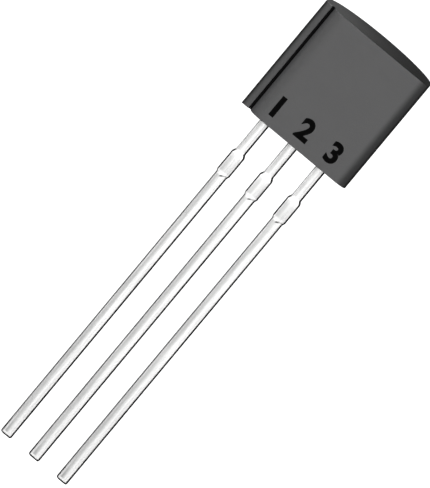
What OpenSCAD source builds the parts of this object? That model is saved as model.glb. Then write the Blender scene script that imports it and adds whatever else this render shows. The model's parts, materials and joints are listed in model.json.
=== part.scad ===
// Small-signal transistor in a three-lead moulded case of the TO-92 outline.
// An epoxy case is moulded round a stamped frame of three tinned leads. The die sits on
// the collector's paddle, and two bond wires run from it to the base and emitter posts.
// Each piece is drawn in the package frame: X runs across the leads with lead 1 at -X,
// Z runs up the case with the leads hanging down -Z, and the flat front faces -Y.
// The whole part is then laid down as it comes to rest on a table: flat front up, on the
// lower edge of its round back and on the tips of its three leads.

/* [Case] */
// Width across the straight sides, twice the radius of the round back
case_w = 4.7; // [4.4:0.02:5.2]
// Height of the case along the leads
case_h = 4.66; // [4.3:0.02:5.3]
// Distance from the middle of the leads to the flat front
flat_reach = 1.16; // [1.02:0.02:1.4]
// Radius between the flat front and the straight side by lead 3
side_edge_r = 0.44; // [0.2:0.02:0.6]
// Height of the flat front above the shoulder on lead 1's side
front_rise = 0.44; // [0.44:0.01:0.7]
// Radius along the long edge of the flat front above that shoulder
front_edge_r = 0.44; // [0.2:0.02:0.44]
// Width of the shoulder outside its index groove
shoulder_w = 0.31; // [0.2:0.01:0.4]
// Width of the index groove between the shoulder and the flat front
groove_w = 0.1; // [0.05:0.01:0.14]
// Depth of the index groove below the shoulder
groove_d = 0.14; // [0.05:0.01:0.2]
// Diameter of the ejector-pin mark in the round back
pin_mark_d = 1.2; // [0.8:0.05:1.6]
// Depth of the ejector-pin mark at its middle
pin_mark_depth = 0.18; // [0.15:0.01:0.35]

/* [Leads] */
// Distance between the middles of neighbouring leads
lead_pitch = 1.27; // [1.2:0.01:1.4]
// Length of each lead below the case
lead_len = 14.45; // [10:0.05:20]
// Thickness of the sheet that the lead frame is stamped from
lead_t = 0.38; // [0.36:0.01:0.51]
// Width of each lead below its stub
lead_w = 0.47; // [0.38:0.01:0.5]
// Width of each lead between the case and its stub
neck_w = 0.41; // [0.34:0.01:0.45]
// Width of the stub that is left where the tie bar was cut away
stub_w = 0.55; // [0.5:0.01:0.65]
// Length of the stub at its full width
stub_len = 0.77; // [0.5:0.01:1.5]
// Length of the taper between the neck and the stub
stub_taper = 0.18; // [0.05:0.01:0.4]
// Length of the shorter taper below the stub
stub_foot = 0.12; // [0.05:0.01:0.4]
// Bare neck between the case and the taper of the stub
neck_len = 1.42; // [0.8:0.01:2.5]

/* [Inner frame] */
// Height of the bonding posts above the bottom of the case
post_rise = 1; // [0.6:0.05:1.2]
// Height of each bonding post
post_h = 0.85; // [0.6:0.05:1]
// Width of the base lead's post
base_post_w = 1; // [0.8:0.05:1.1]
// How far the outer posts stand out beyond their own lead
post_flare = 0.25; // [0.1:0.01:0.3]
// Gap between neighbouring pieces of the frame inside the case
frame_gap = 0.3; // [0.2:0.01:0.35]
// Width of the paddle that carries the die
paddle_w = 2.6; // [2.2:0.05:3]
// Height of the paddle
paddle_h = 1.7; // [1.4:0.05:1.9]

/* [Die] */
// Side of the square die
die_side = 0.55; // [0.4:0.01:0.7]
// Thickness of the die
die_t = 0.2; // [0.15:0.01:0.25]
// Thickness of the solder layer that bonds the die to the paddle
attach_t = 0.04; // [0.03:0.01:0.06]
// How far the solder layer shows beyond the die on each side
attach_rim = 0.06; // [0.02:0.01:0.1]

/* [Bond wires] */
// Diameter of the bond wires
wire_d = 0.05; // [0.03:0.01:0.06]
// Height of the wire loops above the face of the die
wire_loop = 0.34; // [0.2:0.01:0.36]
// Radius of the bends in the wires
wire_bend_r = 0.12; // [0.08:0.01:0.15]
// Distance of each bond pad from the middle of the die
pad_offset = 0.13; // [0.1:0.01:0.14]
// Diameter of the bonded ball at the die end of each wire
ball_d = 0.11; // [0.09:0.01:0.12]
// Thickness of the bonded ball
ball_t = 0.03; // [0.02:0.01:0.05]

/* [Hidden] */
$fn = 96;
// Round pieces thinner than a millimetre need fewer facets
wire_fn = 24;
// Overshoot that lets a cut pass cleanly through a face
cut = 1;

case_r = case_w / 2;
// Middle of the rounding between the flat front and the side by lead 3
side_x = case_r - side_edge_r;
side_y = side_edge_r - flat_reach;

// Lead 1's side of the plan: depth of the shoulder, then the sides of its groove
shoulder_y = front_rise - flat_reach;
groove_x = shoulder_w - case_r;
front_x = groove_x + groove_w;

// Heights of the ends of a lead's stub below the case
stub_top = -neck_len - stub_taper;
stub_bottom = stub_top - stub_len;

// Outer edge of the outer posts, and the posts' and paddle's levels
frame_edge = lead_pitch + neck_w / 2 + post_flare;
post_top = post_rise + post_h;
paddle_bottom = post_top + frame_gap;
emitter_inner = -base_post_w / 2 - frame_gap;
emitter_x = (emitter_inner - frame_edge) / 2;

// Middle of the die on the paddle, and the faces stacked up towards the flat front
die_x = frame_edge - paddle_w / 2;
die_z = paddle_bottom + paddle_h / 2;
post_mid = post_rise + post_h / 2;
frame_face = lead_t / 2;
attach_face = frame_face + attach_t;
die_face = attach_face + die_t;

// The part rests on the lower edge of the round back and on the lead tips
rest_tilt = atan((case_r - lead_t / 2) / lead_len);
rest_z = case_r * cos(rest_tilt);
rest_y = (lead_len - case_h) * cos(rest_tilt) / 2
         - (case_r - lead_t / 2) * sin(rest_tilt) / 2;

case_color = "#5f5f5f";
tin_color = "#e4e4e2";
solder_color = "#b9bcc0";
silicon_color = "#41464f";
gold_color = "#d8ac45";

// Lays a piece down from the package frame into the frame of the resting part.
module laid_down() {
    translate([0, rest_y, rest_z])
        rotate([rest_tilt - 90, 0, 0])
            children();
}

// Turns an outline in X and Z into a plate that is centred on the plane of the leads.
module frame_plate() {
    rotate([90, 0, 0])
        linear_extrude(height = lead_t, center = true)
            children();
}

// Round back, straight sides and flat front, with the corner by lead 3 rounded.
module body_outline() {
    intersection() {
        circle(case_r);
        translate([-case_r - cut, side_y])
            square([case_w + 2 * cut, case_r - side_y + cut]);
    }
    difference() {
        translate([-case_r, -flat_reach])
            square([case_w, flat_reach]);
        translate([side_x, -flat_reach - cut])
            square([side_edge_r + cut, side_edge_r + cut]);
    }
    translate([side_x, side_y])
        circle(side_edge_r);
}

// What the shoulder, its index groove and the front's long edge take off the plan.
module shoulder_cut() {
    translate([-case_r - cut, -flat_reach - cut])
        square([front_x + case_r + cut, front_rise + cut]);
    translate([groove_x, shoulder_y - cut])
        square([groove_w, groove_d + cut]);
    translate([front_x - cut, -flat_reach - cut])
        square(front_edge_r + cut);
}

// Plan of the case, from the round back to the flat front.
module case_outline() {
    difference() {
        body_outline();
        shoulder_cut();
    }
    translate([front_x + front_edge_r, front_edge_r - flat_reach])
        circle(front_edge_r);
}

// Ejector-pin mark: a flat-bottomed round dimple half way up the round back.
module pin_mark() {
    translate([0, case_r - pin_mark_depth, case_h / 2])
        rotate([-90, 0, 0])
            cylinder(d = pin_mark_d, h = pin_mark_depth + cut);
}

// Lead below and inside the case, up to the given height, with its tie-bar stub.
module lead_outline(top) {
    right = [
        [lead_w / 2, -lead_len],
        [lead_w / 2, stub_bottom - stub_foot],
        [stub_w / 2, stub_bottom],
        [stub_w / 2, stub_top],
        [neck_w / 2, -neck_len],
        [neck_w / 2, top]
    ];
    left = [for (i = [len(right) - 1 : -1 : 0]) [-right[i][0], right[i][1]]];
    polygon(concat(right, left));
}

// One bond wire from its ball on the die, over its loop and down to a post.
module bond_wire(pad, post) {
    dx = post[0] - pad[0];
    dz = post[1] - pad[1];
    run = sqrt(dx * dx + dz * dz);
    loop_y = die_face + wire_loop;
    bend_y = loop_y - wire_bend_r;
    translate([pad[0], 0, pad[1]])
        rotate([0, atan2(-dz, dx), 0]) {
            // The ball and the riser above it
            translate([0, -die_face, 0])
                rotate([90, 0, 0])
                    cylinder(d = ball_d, h = ball_t, $fn = wire_fn);
            translate([0, -die_face - ball_t, 0])
                rotate([90, 0, 0])
                    cylinder(d = wire_d, h = bend_y - die_face - ball_t, $fn = wire_fn);
            // The bend over the die and the bend over the post
            translate([wire_bend_r, -bend_y, 0])
                rotate([0, 0, 180])
                    wire_bend();
            translate([run - wire_bend_r, -bend_y, 0])
                rotate([0, 0, 270])
                    wire_bend();
            // The run between them and the drop to the post
            translate([wire_bend_r, -loop_y, 0])
                rotate([0, 90, 0])
                    cylinder(d = wire_d, h = run - 2 * wire_bend_r, $fn = wire_fn);
            translate([run, -frame_face, 0])
                rotate([90, 0, 0])
                    cylinder(d = wire_d, h = bend_y - frame_face, $fn = wire_fn);
        }
}

// Quarter turn of a bond wire about the Z axis.
module wire_bend() {
    rotate_extrude(angle = 90, $fn = 4 * wire_fn)
        translate([wire_bend_r, 0])
            circle(d = wire_d, $fn = wire_fn);
}

// The emitter lead, number 1, ends in a flag beside the base post.
module emitter_shape() {
    frame_plate() {
        translate([-lead_pitch, 0])
            lead_outline(post_top);
        translate([-frame_edge, post_rise])
            square([frame_edge + emitter_inner, post_h]);
    }
}

// The base lead, number 2, ends in a T-shaped post under the paddle.
module base_shape() {
    frame_plate() {
        lead_outline(post_top);
        translate([-base_post_w / 2, post_rise])
            square([base_post_w, post_h]);
    }
}

// The collector lead, number 3, widens into the paddle that carries the die.
module collector_shape() {
    frame_plate() {
        translate([lead_pitch, 0])
            lead_outline(paddle_bottom + paddle_h);
        translate([frame_edge - paddle_w, paddle_bottom])
            square([paddle_w, paddle_h]);
    }
}

// Square plate on the paddle's front, from one depth to the next.
module die_plate(side, back, front) {
    translate([die_x - side / 2, -front, die_z - side / 2])
        cube([side, front - back, side]);
}

module attach_shape() {
    die_plate(die_side + 2 * attach_rim, frame_face, attach_face);
}

module die_shape() {
    die_plate(die_side, attach_face, die_face);
}

module base_wire_shape() {
    bond_wire([die_x + pad_offset, die_z - pad_offset], [0, post_mid]);
}

module emitter_wire_shape() {
    bond_wire([die_x - pad_offset, die_z + pad_offset], [emitter_x, post_mid]);
}

module case() {
    color(case_color)
        laid_down()
            difference() {
                linear_extrude(height = case_h)
                    case_outline();
                pin_mark();
                emitter_shape();
                base_shape();
                collector_shape();
                attach_shape();
                die_shape();
                base_wire_shape();
                emitter_wire_shape();
            }
}

module emitter_lead() {
    color(tin_color)
        laid_down()
            emitter_shape();
}

module base_lead() {
    color(tin_color)
        laid_down()
            base_shape();
}

module collector_lead() {
    color(tin_color)
        laid_down()
            collector_shape();
}

module die_attach() {
    color(solder_color)
        laid_down()
            attach_shape();
}

module die() {
    color(silicon_color)
        laid_down()
            die_shape();
}

module base_wire() {
    color(gold_color)
        laid_down()
            base_wire_shape();
}

module emitter_wire() {
    color(gold_color)
        laid_down()
            emitter_wire_shape();
}

case();
emitter_lead();
base_lead();
collector_lead();
die_attach();
die();
base_wire();
emitter_wire();
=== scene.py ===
"""A small three-lead transistor that lies on a pale table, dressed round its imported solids.

The moulded case, the three tinned leads and the printed lead numbers are modelled here in
millimetres in the package frame: X runs across the leads with lead 1 at -X, Z runs up the
case with the leads hanging down -Z, and the flat front faces -Y. The record's mounts say
where that frame lies in the row frame. The die, its solder and the bond wires keep their
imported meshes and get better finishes.
"""

import json
import logging
import math
from dataclasses import dataclass, field
from enum import Enum

import bpy
from mathutils import Matrix, Vector


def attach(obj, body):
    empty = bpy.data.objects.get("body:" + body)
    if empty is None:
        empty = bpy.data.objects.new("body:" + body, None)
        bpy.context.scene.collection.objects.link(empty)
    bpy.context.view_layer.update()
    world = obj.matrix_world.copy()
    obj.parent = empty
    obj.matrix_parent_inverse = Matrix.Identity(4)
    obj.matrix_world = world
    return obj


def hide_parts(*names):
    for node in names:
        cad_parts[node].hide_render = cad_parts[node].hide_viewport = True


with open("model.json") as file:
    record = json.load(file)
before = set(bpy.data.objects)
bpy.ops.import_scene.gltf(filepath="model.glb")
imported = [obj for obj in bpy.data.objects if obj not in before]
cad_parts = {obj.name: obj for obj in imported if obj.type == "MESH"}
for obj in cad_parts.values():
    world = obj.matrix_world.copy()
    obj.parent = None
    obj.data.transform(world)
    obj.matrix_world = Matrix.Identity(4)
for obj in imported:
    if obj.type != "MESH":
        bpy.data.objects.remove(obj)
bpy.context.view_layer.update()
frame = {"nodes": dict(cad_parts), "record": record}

LOG = logging.getLogger("transistor")
BODY = "root"

# Takes millimetres to metres
MM = 0.001
# A distance that counts as none, in millimetres
NEAR = 0.001
# How far a cutting solid reaches past the face that it cuts, in millimetres
CUT_PAST = 0.1
# Height over which a lead steps to another width inside the case, in millimetres
STEP_H = 0.002
# How many straight parts a small rounding is made of
LIP_PARTS = 4
# Height of the font's figures at size 1
FIGURE_H = 0.7

Point = tuple[float, float]
Span = tuple[float, float]
Colour = tuple[float, float, float]


class Slot(Enum):
    """The record's material slots."""

    EPOXY = "epoxy"
    TIN = "tinned_lead"
    SOLDER = "solder"
    SILICON = "silicon"
    GOLD = "gold_wire"


class Mask(Enum):
    """Point attributes that the meshes carry for their finishes.

    The first four are the case's, three of them painted shade and one edge wear; the others are the
    leads'.
    """

    # Painted shade in the groove
    SEAM = "groove_shade"
    # Painted shade on the flat beside the groove
    SMEAR = "shade_beside"
    # Painted shade along the sides
    SIDE = "side"
    RUB = "rub"
    ACROSS = "across"
    ALONG = "along"
    # Painted dark reflection band along a lead's left half
    DULL = "reflection_band"
    # Painted shade line along a lead's left edge and across its tip
    CUT = "cut"
    TIP = "tip"
    # Broader painted grey reflection over whole stretches of a lead
    WASH = "wash"
    FACE = "face"
    LINE = "line"


# --------------------------------------------------------------------------------------
# The package frame and mesh helpers
# --------------------------------------------------------------------------------------


@dataclass(frozen=True)
class PackageFrame:
    """The package's own axes, read from the record's mounts.

    Attributes:
        matrix: Takes package millimetres to row metres.
    """

    matrix: Matrix

    @classmethod
    def from_record(cls, record: dict) -> "PackageFrame":
        """Builds the frame from the seating face, the flat front and the middle lead.

        Args:
            record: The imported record.

        Returns:
            The package frame.
        """
        mounts = {mount["name"]: mount for mount in record["mounts"]}
        up = -Vector(mounts["seating_face"]["axis"]).normalized()
        back = -Vector(mounts["flat_front"]["axis"]).normalized()
        across = back.cross(up)
        tip = Vector(mounts["lead_2"]["pos_m"])
        seat = Vector(mounts["seating_face"]["pos_m"])
        origin = tip + up * (seat - tip).dot(up)
        turn = Matrix((across, back, up)).transposed().to_4x4()
        return cls(Matrix.Translation(origin) @ turn @ Matrix.Scale(MM, 4))

    def point(self, x: float, y: float, z: float) -> Vector:
        """A package point, in row metres."""
        return self.matrix @ Vector((x, y, z))

    def direction(self, x: float, y: float, z: float) -> Vector:
        """A package direction, as a row unit vector."""
        return (self.matrix.to_3x3() @ Vector((x, y, z))).normalized()

    def extent(self, node: str) -> tuple[Vector, Vector]:
        """Measures a CAD node in the package frame.

        Args:
            node: The node's name.

        Returns:
            Its lowest and highest corners, in package millimetres.
        """
        inverse = self.matrix.inverted()
        points = [inverse @ v.co for v in frame["nodes"][node].data.vertices]
        low = Vector(min(p[i] for p in points) for i in range(3))
        high = Vector(max(p[i] for p in points) for i in range(3))
        return low, high


def smoothstep(low: float, high: float, value: float) -> float:
    """Rises smoothly from 0 at low to 1 at high."""
    share = min(1.0, max(0.0, (value - low) / (high - low)))
    return share * share * (3 - 2 * share)


def faded(level: float, span: Span, value: float) -> float:
    """Rises smoothly from 0 to 1 over a span that is measured from a level."""
    return smoothstep(level + span[0], level + span[1], value)


def spaced(low: float, high: float, hold: float, inner: int) -> list[float]:
    """Stations along a straight stretch, with one close to each end.

    Args:
        low: Where the stretch starts.
        high: Where it ends.
        hold: Distance of the first and last inner stations from the ends.
        inner: How many stations lie evenly between those two.

    Returns:
        The stations between the ends, without the ends themselves.
    """
    start = low + math.copysign(hold, high - low)
    end = high - math.copysign(hold, high - low)
    steps = inner + 1
    return [start + (end - start) * i / steps for i in range(steps + 1)]


@dataclass
class Outline:
    """A closed outline that is drawn with lines and arcs.

    Attributes:
        hold: Distance of the holding points from the ends of each line.
        points: The outline's points so far, as (x, y).
    """

    hold: float = 0.015
    points: list[Point] = field(default_factory=list)

    def line(self, x: float, y: float, inner: int = 0) -> None:
        """Draws a line to a point, with a holding point near each end.

        Args:
            x: Where the line ends, across.
            y: Where the line ends, in depth.
            inner: How many more points lie evenly along it.
        """
        last = Vector(self.points[-1])
        run = Vector((x, y)) - last
        if run.length > 2.5 * self.hold:
            for s in spaced(0, run.length, self.hold, inner):
                self.points.append(tuple(last + run.normalized() * s))
        self.points.append((x, y))

    def arc(self, middle: Point, radius: float, start: float, end: float, step: float) -> None:
        """Draws an arc, its first point included unless the outline is already there.

        Args:
            middle: The arc's middle.
            radius: Its radius.
            start: The angle where it starts, in degrees.
            end: The angle where it ends, in degrees.
            step: The largest angle between two points, in degrees.
        """
        count = max(2, math.ceil(abs(end - start) / step))
        for i in range(count + 1):
            a = math.radians(start + (end - start) * i / count)
            point = (middle[0] + radius * math.cos(a), middle[1] + radius * math.sin(a))
            if self.points and (Vector(point) - Vector(self.points[-1])).length < 1e-6:
                continue
            self.points.append(point)

    def closed(self) -> list[Point]:
        """The points, without a last one that repeats the first."""
        if (Vector(self.points[0]) - Vector(self.points[-1])).length < 1e-6:
            return self.points[:-1]
        return self.points


def inset(points: list[Point], depth: float) -> list[Point]:
    """Moves a clockwise closed outline inwards.

    Args:
        points: The outline's points.
        depth: How far each point moves along its own inward normal.

    Returns:
        The moved points, in the same order.
    """
    moved = []
    for i, (x, y) in enumerate(points):
        before = Vector((x, y)) - Vector(points[i - 1])
        after = Vector(points[(i + 1) % len(points)]) - Vector((x, y))
        along = before.normalized() + after.normalized()
        inward = Vector((along.y, -along.x)).normalized()
        moved.append((x + inward.x * depth, y + inward.y * depth))
    return moved


def lofted(name: str, rings: list[list[Vector]], masks: dict[Mask, list[float]]) -> bpy.types.Mesh:
    """Joins closed rings of equal length into a capped skin.

    Args:
        name: The mesh's name.
        rings: The rings from the lowest to the highest, clockwise as seen from above.
        masks: The point attributes, one value for each point in ring order.

    Returns:
        The mesh, smooth on its sides and flat on its caps.
    """
    count = len(rings[0])
    vertices = [point for ring in rings for point in ring]
    faces = [list(range(count))]
    for level in range(len(rings) - 1):
        for i in range(count):
            a = level * count + i
            b = level * count + (i + 1) % count
            faces.append([b, a, a + count, b + count])
    faces.append(list(range(len(vertices) - 1, len(vertices) - count - 1, -1)))
    mesh = bpy.data.meshes.new(name)
    mesh.from_pydata(vertices, [], faces)
    for mask, values in masks.items():
        mesh.attributes.new(mask.value, "FLOAT", "POINT").data.foreach_set("value", values)
    smooth = [True] * len(faces)
    smooth[0] = False
    smooth[-1] = False
    mesh.polygons.foreach_set("use_smooth", smooth)
    mesh.update()
    return mesh


def placed(name: str, mesh: bpy.types.Mesh, package: PackageFrame) -> bpy.types.Object:
    """Links a package-frame mesh into the scene, in row metres.

    Args:
        name: The piece's name.
        mesh: The mesh, in package millimetres.
        package: The package frame.

    Returns:
        The new object, with its place in its vertices.
    """
    mesh.transform(package.matrix)
    piece = bpy.data.objects.new(name, mesh)
    bpy.context.scene.collection.objects.link(piece)
    return piece


def cut_away(piece: bpy.types.Object, tools: list[bpy.types.Object]) -> None:
    """Cuts other solids out of a piece and keeps the result as its mesh.

    Args:
        piece: The piece that is cut.
        tools: The solids to cut out of it, one after another.
    """
    for tool in tools:
        cut = piece.modifiers.new(tool.name, "BOOLEAN")
        cut.operation = "DIFFERENCE"
        cut.solver = "EXACT"
        cut.object = tool
    graph = bpy.context.evaluated_depsgraph_get()
    result = bpy.data.meshes.new_from_object(piece.evaluated_get(graph))
    piece.modifiers.clear()
    piece.data = result


def dress(piece: bpy.types.Object, material: bpy.types.Material) -> None:
    """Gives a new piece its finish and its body.

    Args:
        piece: The piece, already in place.
        material: Its finish.
    """
    piece.data.materials.clear()
    piece.data.materials.append(material)
    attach(piece, BODY)


# --------------------------------------------------------------------------------------
# Shader helpers and shared effects
# --------------------------------------------------------------------------------------


@dataclass
class Nodes:
    """A node tree with short calls that add and join nodes."""

    tree: bpy.types.NodeTree

    def add(self, kind: str, **settings: object) -> bpy.types.Node:
        """Adds a node.

        Args:
            kind: The node's type name, without the ShaderNode prefix.
            settings: Properties to set on the node.

        Returns:
            The new node.
        """
        name = kind if kind.startswith("NodeGroup") else "ShaderNode" + kind
        node = self.tree.nodes.new(name)
        for key, value in settings.items():
            setattr(node, key, value)
        return node

    def join(self, source: bpy.types.NodeSocket, target: bpy.types.NodeSocket) -> None:
        """Links an output to an input."""
        self.tree.links.new(source, target)

    def math(self, operation: str, first: object, second: object = None) -> bpy.types.NodeSocket:
        """Adds a Math node.

        Args:
            operation: The node's operation.
            first: A number or an output socket.
            second: A number or an output socket, where the operation takes two.

        Returns:
            The node's output.
        """
        node = self.add("Math", operation=operation)
        for i, value in enumerate((first, second)):
            if isinstance(value, bpy.types.NodeSocket):
                self.join(value, node.inputs[i])
            elif value is not None:
                node.inputs[i].default_value = value
        return node.outputs[0]

    def ramp(self, value: bpy.types.NodeSocket, low: float, high: float,
             start: float = 0.0, end: float = 1.0) -> bpy.types.NodeSocket:
        """Maps a value smoothly from one range to another.

        Args:
            value: The output that is mapped.
            low: The value that gives start.
            high: The value that gives end.
            start: The result at and below low.
            end: The result at and above high.

        Returns:
            The mapped output.
        """
        node = self.add("MapRange", interpolation_type="SMOOTHSTEP")
        self.join(value, node.inputs["Value"])
        node.inputs["From Min"].default_value = low
        node.inputs["From Max"].default_value = high
        node.inputs["To Min"].default_value = start
        node.inputs["To Max"].default_value = end
        return node.outputs["Result"]

    def blend(self, share: object, first: object, second: object) -> bpy.types.NodeSocket:
        """Mixes two colours.

        Args:
            share: How much of the second colour shows, as a number or an output.
            first: A colour or an output socket.
            second: A colour or an output socket.

        Returns:
            The mixed colour.
        """
        node = self.add("Mix", data_type="RGBA")
        for name, value in (("Factor_Float", share), ("A_Color", first), ("B_Color", second)):
            socket = next(s for s in node.inputs if s.identifier == name)
            if isinstance(value, bpy.types.NodeSocket):
                self.join(value, socket)
            elif isinstance(value, tuple):
                socket.default_value = (*value, 1.0)
            else:
                socket.default_value = value
        return next(s for s in node.outputs if s.identifier == "Result_Color")

    def attribute(self, mask: Mask) -> bpy.types.NodeSocket:
        """Reads a point attribute."""
        return self.add("Attribute", attribute_name=mask.value).outputs["Fac"]

    def group(self, tree: bpy.types.NodeTree, **inputs: object) -> bpy.types.Node:
        """Places a node group.

        Args:
            tree: The group.
            inputs: Values or output sockets for the group's inputs, by name.

        Returns:
            The group node.
        """
        node = self.add("Group", node_tree=tree)
        for key, value in inputs.items():
            if isinstance(value, bpy.types.NodeSocket):
                self.join(value, node.inputs[key])
            else:
                node.inputs[key].default_value = value
        return node


STREAK_SPAN = (0.3, 0.7)


def new_group(name: str, inputs: dict[str, float], outputs: list[str]) -> tuple:
    """Starts a shader node group whose sockets are all plain numbers.

    Args:
        name: The group's name.
        inputs: The inputs and their defaults.
        outputs: The names of the outputs.

    Returns:
        The tree, its Nodes helper, its input node and its output node.
    """
    tree = bpy.data.node_groups.new(name, "ShaderNodeTree")
    for key, value in inputs.items():
        socket = tree.interface.new_socket(key, in_out="INPUT", socket_type="NodeSocketFloat")
        socket.default_value = value
    for key in outputs:
        tree.interface.new_socket(key, in_out="OUTPUT", socket_type="NodeSocketFloat")
    nodes = Nodes(tree)
    return tree, nodes, nodes.add("NodeGroupInput"), nodes.add("NodeGroupOutput")


def part_millimetres(nodes: Nodes) -> bpy.types.NodeSocket:
    """The object's own coordinates, in millimetres."""
    place = nodes.add("TexCoord").outputs["Object"]
    scale = nodes.add("VectorMath", operation="SCALE")
    nodes.join(place, scale.inputs[0])
    scale.inputs["Scale"].default_value = 1 / MM
    return scale.outputs[0]


def grain_group() -> bpy.types.NodeTree:
    """Fine grain over a broader cloud.

    Returns:
        A group with Height, for bump, and Cloud and Speck, both from 0 to 1.
    """
    inputs = {"Grain Size": 0.03, "Cloud Size": 0.8}
    tree, nodes, start, end = new_group("Grain", inputs, ["Height", "Cloud", "Speck"])
    place = part_millimetres(nodes)
    sockets = {}
    for name, size, detail in (("Grain", "Grain Size", 3.0), ("Cloud", "Cloud Size", 2.0)):
        noise = nodes.add("TexNoise", noise_dimensions="3D")
        nodes.join(place, noise.inputs["Vector"])
        nodes.join(nodes.math("DIVIDE", 1.0, start.outputs[size]), noise.inputs["Scale"])
        noise.inputs["Detail"].default_value = detail
        sockets[name] = noise.outputs["Fac"]
    nodes.join(sockets["Grain"], end.inputs["Height"])
    nodes.join(nodes.ramp(sockets["Cloud"], 0.3, 0.7), end.inputs["Cloud"])
    nodes.join(nodes.ramp(sockets["Grain"], 0.62, 0.74), end.inputs["Speck"])
    return tree


def wear_group() -> bpy.types.NodeTree:
    """Edge wear that is broken up by noise.

    Returns:
        A group that turns Edge, 1 on an edge, into Worn, from 0 to 1.
    """
    inputs = {"Edge": 0.0, "Start": 0.5, "Patch Size": 0.15}
    tree, nodes, start, end = new_group("Edge wear", inputs, ["Worn"])
    noise = nodes.add("TexNoise", noise_dimensions="3D")
    nodes.join(part_millimetres(nodes), noise.inputs["Vector"])
    nodes.join(nodes.math("DIVIDE", 1.0, start.outputs["Patch Size"]), noise.inputs["Scale"])
    noise.inputs["Detail"].default_value = 3.0
    broken = nodes.math("ADD", start.outputs["Edge"], noise.outputs["Fac"])
    over = nodes.math("SUBTRACT", broken, nodes.math("ADD", start.outputs["Start"], 0.5))
    nodes.join(nodes.ramp(over, 0.0, 0.35), end.inputs["Worn"])
    return tree


def streak_group() -> bpy.types.NodeTree:
    """Drawing marks that run along a lead.

    Returns:
        A group that turns Across and Along into Streak, from 0 to 1, and Drift, about 0.
    """
    inputs = {"Across": 0.0, "Along": 0.0, "Seed": 0.0}
    tree, nodes, start, end = new_group("Drawing marks", inputs, ["Streak", "Drift"])
    for output, across, along, detail in (("Streak", 9.0, 0.5, 3.0), ("Drift", 0.0, 0.7, 2.0)):
        place = nodes.add("CombineXYZ")
        nodes.join(nodes.math("MULTIPLY", start.outputs["Across"], across), place.inputs[0])
        nodes.join(nodes.math("MULTIPLY", start.outputs["Along"], along), place.inputs[1])
        nodes.join(start.outputs["Seed"], place.inputs[2])
        noise = nodes.add("TexNoise", noise_dimensions="3D")
        nodes.join(place.outputs[0], noise.inputs["Vector"])
        noise.inputs["Scale"].default_value = 1.0
        noise.inputs["Detail"].default_value = detail
        value = noise.outputs["Fac"]
        shifted = value if output == "Streak" else nodes.math("SUBTRACT", value, 0.5)
        nodes.join(shifted, end.inputs[output])
    return tree


@dataclass(frozen=True)
class LeadBand:
    """Where the painted dark reflection band lies across a lead, from -1 at its left side to 1 at
    its right.

    Attributes:
        start: The band's strength left of its rise.
        rise: Where it starts to rise, and where it is at full strength.
        fall: Where it starts to fade, and where it is gone.
    """

    start: float
    rise: Span
    fall: Span

    def shade(self, nodes: Nodes, across: bpy.types.NodeSocket) -> bpy.types.NodeSocket:
        """Draws the band.

        Args:
            nodes: The nodes it is drawn with.
            across: The place across the lead.

        Returns:
            The band, from 0 to 1.
        """
        rise = nodes.ramp(across, *self.rise, self.start, 1.0)
        return nodes.math("MULTIPLY", rise, nodes.ramp(across, *self.fall, 1.0, 0.0))


@dataclass(frozen=True)
class ShearMark:
    """The dark line below a stub, where the tie bar was sheared off.

    Attributes:
        strength: How dark the line is at its middle.
        half_width: Half its full width, and half its width where it is gone, in millimetres.
        slope: How far it drops towards the left, in millimetres for each half width.
        level: The place across at which it would meet the end of the stub.
        left_end: Where it starts and is at full strength, across the lead.
        right_fade: Where it starts to weaken and stops doing so, across the lead.
        right_share: The share of its strength that is left on the right.
    """

    strength: float = 0.9
    half_width: Span = (0.014, 0.05)
    slope: float = 0.12
    level: float = 1.25
    left_end: Span = (-0.28, -0.05)
    right_fade: Span = (0.1, 0.5)
    right_share: float = 0.5

    def shade(self, nodes: Nodes, across: bpy.types.NodeSocket,
              along: bpy.types.NodeSocket) -> bpy.types.NodeSocket:
        """Draws the line.

        Args:
            nodes: The nodes it is drawn with.
            across: The place across the lead.
            along: The height above the end of the stub, in millimetres.

        Returns:
            The line, from 0 to 1.
        """
        drop = nodes.math("MULTIPLY", nodes.math("SUBTRACT", self.level, across), self.slope)
        away = nodes.math("ABSOLUTE", nodes.math("ADD", along, drop))
        line = nodes.ramp(away, *self.half_width, self.strength, 0.0)
        left = nodes.ramp(across, *self.left_end)
        right = nodes.ramp(across, *self.right_fade, 1.0, self.right_share)
        return nodes.math("MULTIPLY", line, nodes.math("MULTIPLY", left, right))


# Where the painted dark reflection band lies away from the tip and near it, and where its broader
# painted grey wash rises
PLAIN_BAND = LeadBand(0.3, (-0.85, -0.55), (-0.45, 0.3))
TIP_BAND = LeadBand(0.35, (-0.56, -0.42), (-0.35, 0.3))
WASH_START = 0.8
WASH_RISE = (-0.15, 0.35)


def shade_group() -> bpy.types.NodeTree:
    """Painted dark reflection band, its broader painted grey wash and the shear mark of a stamped
    lead.

    Returns:
        A group that turns Across, Along from the end of the stub in millimetres, and Tip,
        1 near the tip, into Band, Wash and Shear, all from 0 to 1.
    """
    inputs = {"Across": 0.0, "Along": 0.0, "Tip": 0.0}
    tree, nodes, start, end = new_group("Lead shades", inputs, ["Band", "Wash", "Shear"])
    across = start.outputs["Across"]
    tip = start.outputs["Tip"]
    near = nodes.math("MULTIPLY", TIP_BAND.shade(nodes, across), tip)
    rest = nodes.math("SUBTRACT", 1.0, tip)
    far = nodes.math("MULTIPLY", PLAIN_BAND.shade(nodes, across), rest)
    nodes.join(nodes.math("ADD", near, far), end.inputs["Band"])
    nodes.join(nodes.ramp(across, *WASH_RISE, WASH_START, 1.0), end.inputs["Wash"])
    mark = ShearMark().shade(nodes, across, start.outputs["Along"])
    nodes.join(mark, end.inputs["Shear"])
    return tree


@dataclass(frozen=True)
class Effects:
    """The shader node groups that several finishes share."""

    grain: bpy.types.NodeTree
    wear: bpy.types.NodeTree
    streak: bpy.types.NodeTree
    shade: bpy.types.NodeTree

    @classmethod
    def build(cls) -> "Effects":
        """Makes each group once."""
        return cls(grain_group(), wear_group(), streak_group(), shade_group())


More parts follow.
